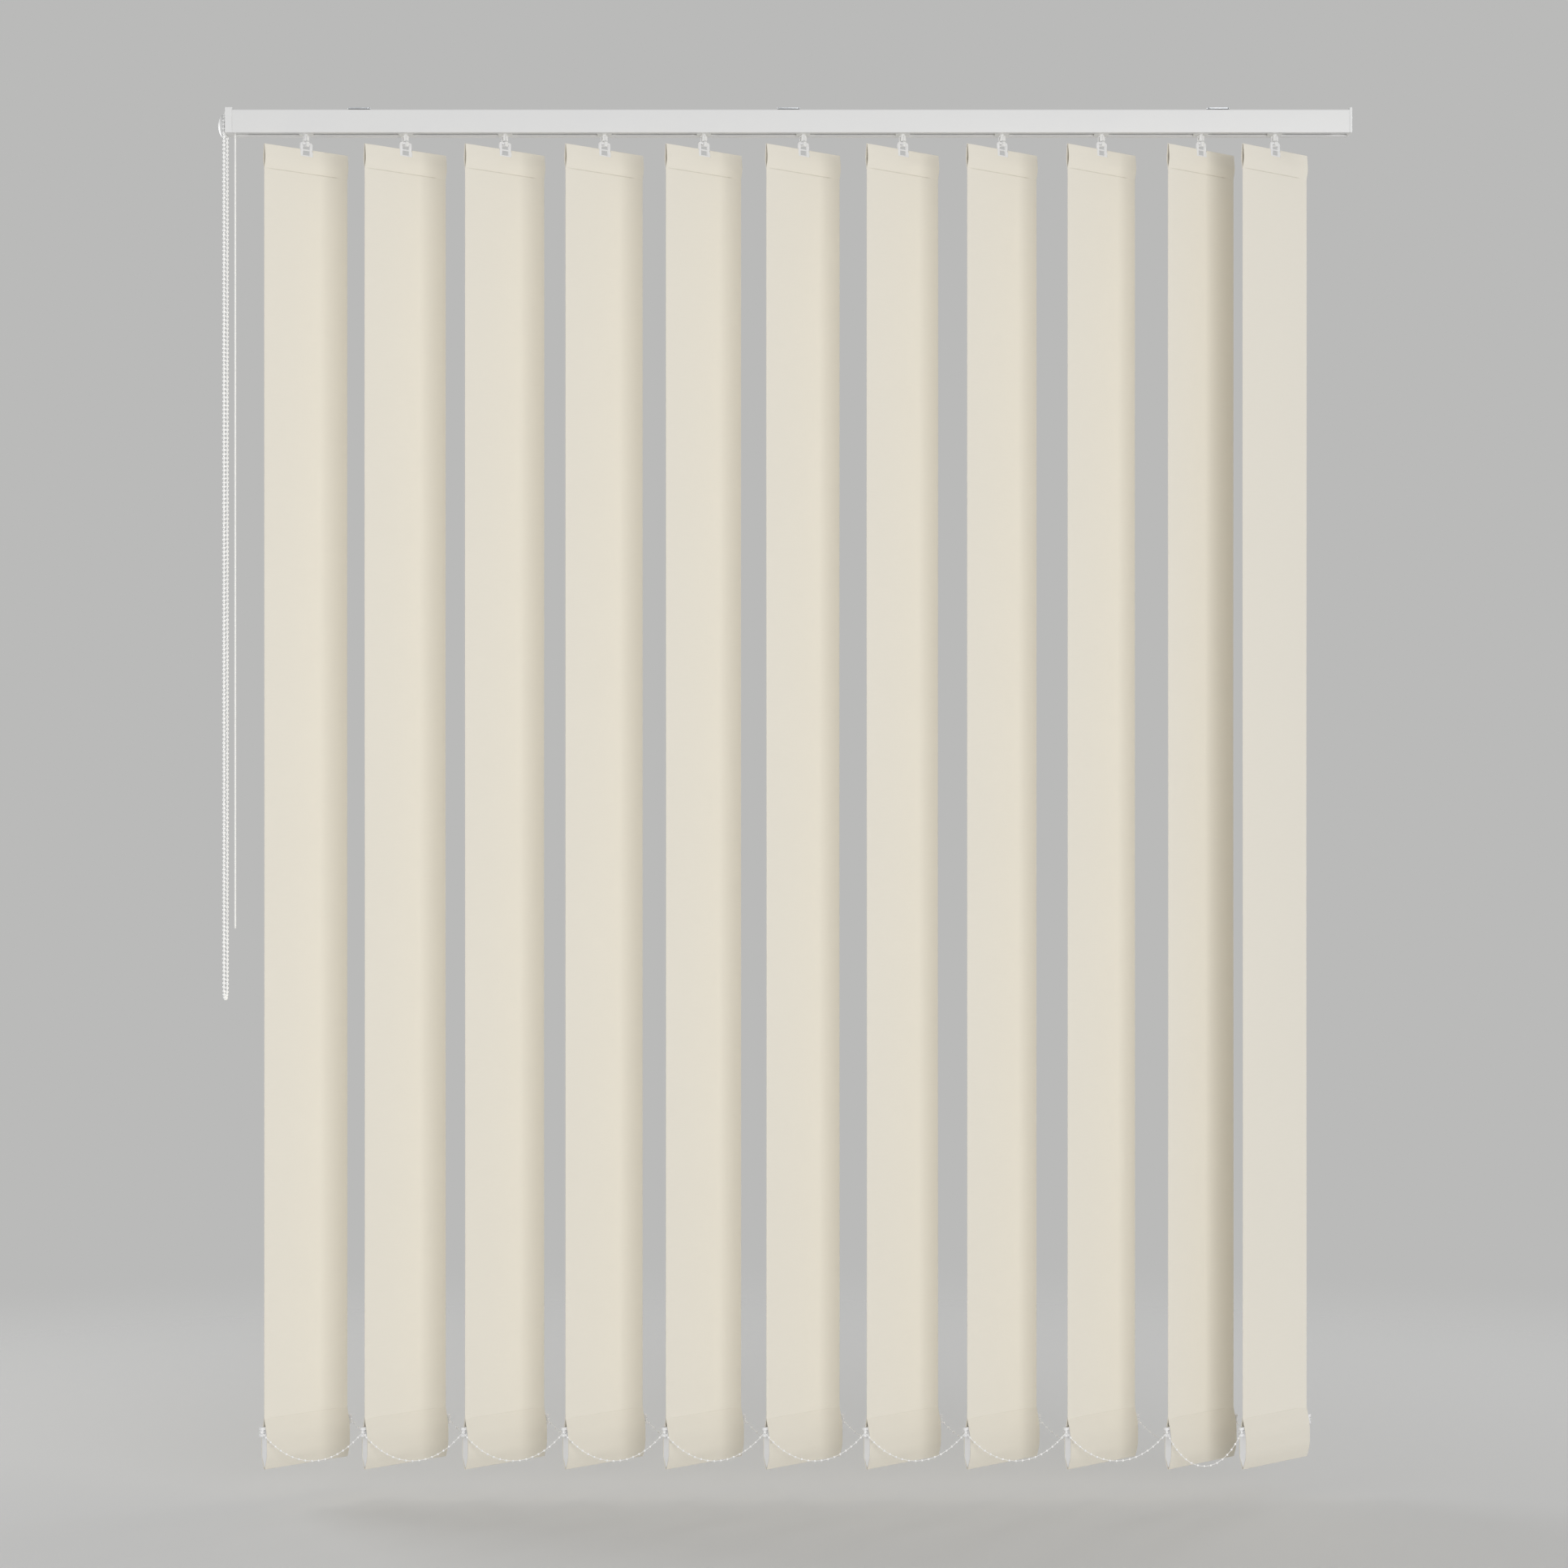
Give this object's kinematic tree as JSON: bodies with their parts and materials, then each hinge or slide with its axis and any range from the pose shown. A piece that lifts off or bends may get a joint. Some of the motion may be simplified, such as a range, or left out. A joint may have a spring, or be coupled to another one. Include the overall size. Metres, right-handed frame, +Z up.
{
  "type": "vertical blind",
  "caption": "Vertical blind: cream fabric vanes hang from a white headrail, tilt by a bead chain and draw aside by a cord, with weighted hems linked by bead chains.",
  "frame": {"origin": "on the ceiling plane that the brackets are screwed to, above the middle of the headrail", "axes": "+X along the headrail away from the control end, +Y away from the room, +Z up"},
  "size_m": [1.3211, 0.1104, 1.5792],
  "materials": {
    "vane_fabric": "plain weave, dimout coated",
    "rail_enamel": "white powder coat",
    "cap_plastic": "moulded satin",
    "carrier_plastic": "moulded acetal",
    "hook_plastic": "clear-white moulded",
    "weight_plastic": "moulded",
    "chain_plastic": "moulded beads",
    "cord_yarn": "braided polyester",
    "rod_aluminium": "mill",
    "bracket_steel": "zinc plated"
  },
  "bodies": {
    "root": {"headrail": "rail_enamel", "control_end_cap": "cap_plastic", "return_end_cap": "cap_plastic", "mounting_brackets": "bracket_steel", "tilt_chain": "chain_plastic", "traverse_cord": "cord_yarn", "rail_cord": "cord_yarn", "carrier_11": "carrier_plastic"},
    "rod": {"tilt_rod": "rod_aluminium", "chain_sprocket": "cap_plastic"},
    "front_control_pulley": {"front_control_pulley": "carrier_plastic"},
    "back_control_pulley": {"back_control_pulley": "carrier_plastic"},
    "return_pulley": {"return_pulley": "carrier_plastic"},
    "carrier_01": {"carrier_01": "carrier_plastic"},
    "carrier_02": {"carrier_02": "carrier_plastic"},
    "carrier_03": {"carrier_03": "carrier_plastic"},
    "carrier_04": {"carrier_04": "carrier_plastic"},
    "carrier_05": {"carrier_05": "carrier_plastic"},
    "carrier_06": {"carrier_06": "carrier_plastic"},
    "carrier_07": {"carrier_07": "carrier_plastic"},
    "carrier_08": {"carrier_08": "carrier_plastic"},
    "carrier_09": {"carrier_09": "carrier_plastic"},
    "carrier_10": {"carrier_10": "carrier_plastic"},
    "vane_01": {"vane_01": "vane_fabric", "hook_01": "hook_plastic", "hanger_and_weight_01": "weight_plastic"},
    "vane_02": {"vane_02": "vane_fabric", "hook_02": "hook_plastic", "hanger_and_weight_02": "weight_plastic"},
    "vane_03": {"vane_03": "vane_fabric", "hook_03": "hook_plastic", "hanger_and_weight_03": "weight_plastic"},
    "vane_04": {"vane_04": "vane_fabric", "hook_04": "hook_plastic", "hanger_and_weight_04": "weight_plastic"},
    "vane_05": {"vane_05": "vane_fabric", "hook_05": "hook_plastic", "hanger_and_weight_05": "weight_plastic"},
    "vane_06": {"vane_06": "vane_fabric", "hook_06": "hook_plastic", "hanger_and_weight_06": "weight_plastic"},
    "vane_07": {"vane_07": "vane_fabric", "hook_07": "hook_plastic", "hanger_and_weight_07": "weight_plastic"},
    "vane_08": {"vane_08": "vane_fabric", "hook_08": "hook_plastic", "hanger_and_weight_08": "weight_plastic"},
    "vane_09": {"vane_09": "vane_fabric", "hook_09": "hook_plastic", "hanger_and_weight_09": "weight_plastic"},
    "vane_10": {"vane_10": "vane_fabric", "hook_10": "hook_plastic", "hanger_and_weight_10": "weight_plastic"},
    "vane_11": {"vane_11": "vane_fabric", "hook_11": "hook_plastic", "hanger_and_weight_11": "weight_plastic"},
    "front_chain": {"front_bottom_chain": "chain_plastic"},
    "back_chain": {"back_bottom_chain": "chain_plastic"}
  },
  "joints": [
    {"name": "tilt_01", "type": "hinge", "parent": "carrier_01", "child": "vane_01", "pos_m": [-0.5628, -0.003, -0.03], "axis": [0, 0, 1], "range_deg": [-27.65, 112.35]},
    {"name": "tilt_02", "type": "hinge", "parent": "carrier_02", "child": "vane_02", "pos_m": [-0.4468, -0.003, -0.03], "axis": [0, 0, 1], "range_deg": [-27.65, 112.35]},
    {"name": "tilt_03", "type": "hinge", "parent": "carrier_03", "child": "vane_03", "pos_m": [-0.3308, -0.003, -0.03], "axis": [0, 0, 1], "range_deg": [-27.65, 112.35]},
    {"name": "tilt_04", "type": "hinge", "parent": "carrier_04", "child": "vane_04", "pos_m": [-0.2148, -0.003, -0.03], "axis": [0, 0, 1], "range_deg": [-27.65, 112.35]},
    {"name": "tilt_05", "type": "hinge", "parent": "carrier_05", "child": "vane_05", "pos_m": [-0.0988, -0.003, -0.03], "axis": [0, 0, 1], "range_deg": [-27.65, 112.35]},
    {"name": "tilt_06", "type": "hinge", "parent": "carrier_06", "child": "vane_06", "pos_m": [0.0172, -0.003, -0.03], "axis": [0, 0, 1], "range_deg": [-27.65, 112.35]},
    {"name": "tilt_07", "type": "hinge", "parent": "carrier_07", "child": "vane_07", "pos_m": [0.1332, -0.003, -0.03], "axis": [0, 0, 1], "range_deg": [-27.65, 112.35]},
    {"name": "tilt_08", "type": "hinge", "parent": "carrier_08", "child": "vane_08", "pos_m": [0.2492, -0.003, -0.03], "axis": [0, 0, 1], "range_deg": [-27.65, 112.35]},
    {"name": "tilt_09", "type": "hinge", "parent": "carrier_09", "child": "vane_09", "pos_m": [0.3652, -0.003, -0.03], "axis": [0, 0, 1], "range_deg": [-27.65, 112.35]},
    {"name": "tilt_10", "type": "hinge", "parent": "carrier_10", "child": "vane_10", "pos_m": [0.4812, -0.003, -0.03], "axis": [0, 0, 1], "range_deg": [-27.65, 112.35]},
    {"name": "tilt_11", "type": "hinge", "parent": "root", "child": "vane_11", "pos_m": [0.5674, -0.003, -0.03], "axis": [0, 0, 1], "range_deg": [-27.65, 112.35]},
    {"name": "rod_turn", "type": "hinge", "parent": "root", "child": "rod", "pos_m": [0, 0.0031, -0.0192], "axis": [1, 0, 0], "range_deg": [-110.6, 449.4], "deforming": ["tilt_chain"]},
    {"name": "traverse_01", "type": "slide", "parent": "root", "child": "carrier_01", "axis": [1, 0, 0], "range_m": [0, 0.7233], "deforming": ["front_bottom_chain", "back_bottom_chain"]},
    {"name": "traverse_02", "type": "slide", "parent": "root", "child": "carrier_02", "axis": [1, 0, 0], "range_m": [0, 0.64906]},
    {"name": "traverse_03", "type": "slide", "parent": "root", "child": "carrier_03", "axis": [1, 0, 0], "range_m": [0, 0.57483]},
    {"name": "traverse_04", "type": "slide", "parent": "root", "child": "carrier_04", "axis": [1, 0, 0], "range_m": [0, 0.50059]},
    {"name": "traverse_05", "type": "slide", "parent": "root", "child": "carrier_05", "axis": [1, 0, 0], "range_m": [0, 0.42635]},
    {"name": "traverse_06", "type": "slide", "parent": "root", "child": "carrier_06", "axis": [1, 0, 0], "range_m": [0, 0.35212]},
    {"name": "traverse_07", "type": "slide", "parent": "root", "child": "carrier_07", "axis": [1, 0, 0], "range_m": [0, 0.27788]},
    {"name": "traverse_08", "type": "slide", "parent": "root", "child": "carrier_08", "axis": [1, 0, 0], "range_m": [0, 0.20364]},
    {"name": "traverse_09", "type": "slide", "parent": "root", "child": "carrier_09", "axis": [1, 0, 0], "range_m": [0, 0.1294]},
    {"name": "traverse_10", "type": "slide", "parent": "root", "child": "carrier_10", "axis": [1, 0, 0], "range_m": [0, 0.05517]},
    {"name": "front_chain_swivel", "type": "hinge", "parent": "vane_11", "child": "front_chain", "pos_m": [0.52233, -0.05244, -1.5353], "axis": [0, 0, 1], "range_deg": [-112.35, 27.65]},
    {"name": "back_chain_swivel", "type": "hinge", "parent": "vane_11", "child": "back_chain", "pos_m": [0.61247, 0.04644, -1.5353], "axis": [0, 0, 1], "range_deg": [-112.35, 27.65]},
    {"name": "front_pulley_turn", "type": "hinge", "parent": "root", "child": "front_control_pulley", "pos_m": [-0.6401, -0.0082, -0.0175], "axis": [0, 1, 0], "range_deg": [0, 8289]},
    {"name": "back_pulley_turn", "type": "hinge", "parent": "root", "child": "back_control_pulley", "pos_m": [-0.6401, -0.0032, -0.0175], "axis": [0, 1, 0], "range_deg": [-8289, 0]},
    {"name": "return_pulley_turn", "type": "hinge", "parent": "root", "child": "return_pulley", "pos_m": [0.6404, -0.0057, -0.0125], "axis": [0, 0, 1], "range_deg": [0, 16577]}
  ],
  "couplings": [
    {"joint": "tilt_01", "follows": "tilt_11", "ratio": 1},
    {"joint": "tilt_02", "follows": "tilt_11", "ratio": 1},
    {"joint": "tilt_03", "follows": "tilt_11", "ratio": 1},
    {"joint": "tilt_04", "follows": "tilt_11", "ratio": 1},
    {"joint": "tilt_05", "follows": "tilt_11", "ratio": 1},
    {"joint": "tilt_06", "follows": "tilt_11", "ratio": 1},
    {"joint": "tilt_07", "follows": "tilt_11", "ratio": 1},
    {"joint": "tilt_08", "follows": "tilt_11", "ratio": 1},
    {"joint": "tilt_09", "follows": "tilt_11", "ratio": 1},
    {"joint": "tilt_10", "follows": "tilt_11", "ratio": 1},
    {"joint": "rod_turn", "follows": "tilt_11", "ratio": 4},
    {"joint": "front_chain_swivel", "follows": "tilt_11", "ratio": -1},
    {"joint": "back_chain_swivel", "follows": "tilt_11", "ratio": -1},
    {"joint": "traverse_02", "follows": "traverse_01", "ratio": 0.89736},
    {"joint": "traverse_03", "follows": "traverse_01", "ratio": 0.79473},
    {"joint": "traverse_04", "follows": "traverse_01", "ratio": 0.69209},
    {"joint": "traverse_05", "follows": "traverse_01", "ratio": 0.58945},
    {"joint": "traverse_06", "follows": "traverse_01", "ratio": 0.48682},
    {"joint": "traverse_07", "follows": "traverse_01", "ratio": 0.38418},
    {"joint": "traverse_08", "follows": "traverse_01", "ratio": 0.28154},
    {"joint": "traverse_09", "follows": "traverse_01", "ratio": 0.17891},
    {"joint": "traverse_10", "follows": "traverse_01", "ratio": 0.07627},
    {"joint": "front_pulley_turn", "follows": "traverse_01", "rad_per_m": 200},
    {"joint": "back_pulley_turn", "follows": "traverse_01", "rad_per_m": -200},
    {"joint": "return_pulley_turn", "follows": "traverse_01", "rad_per_m": 400}
  ]
}
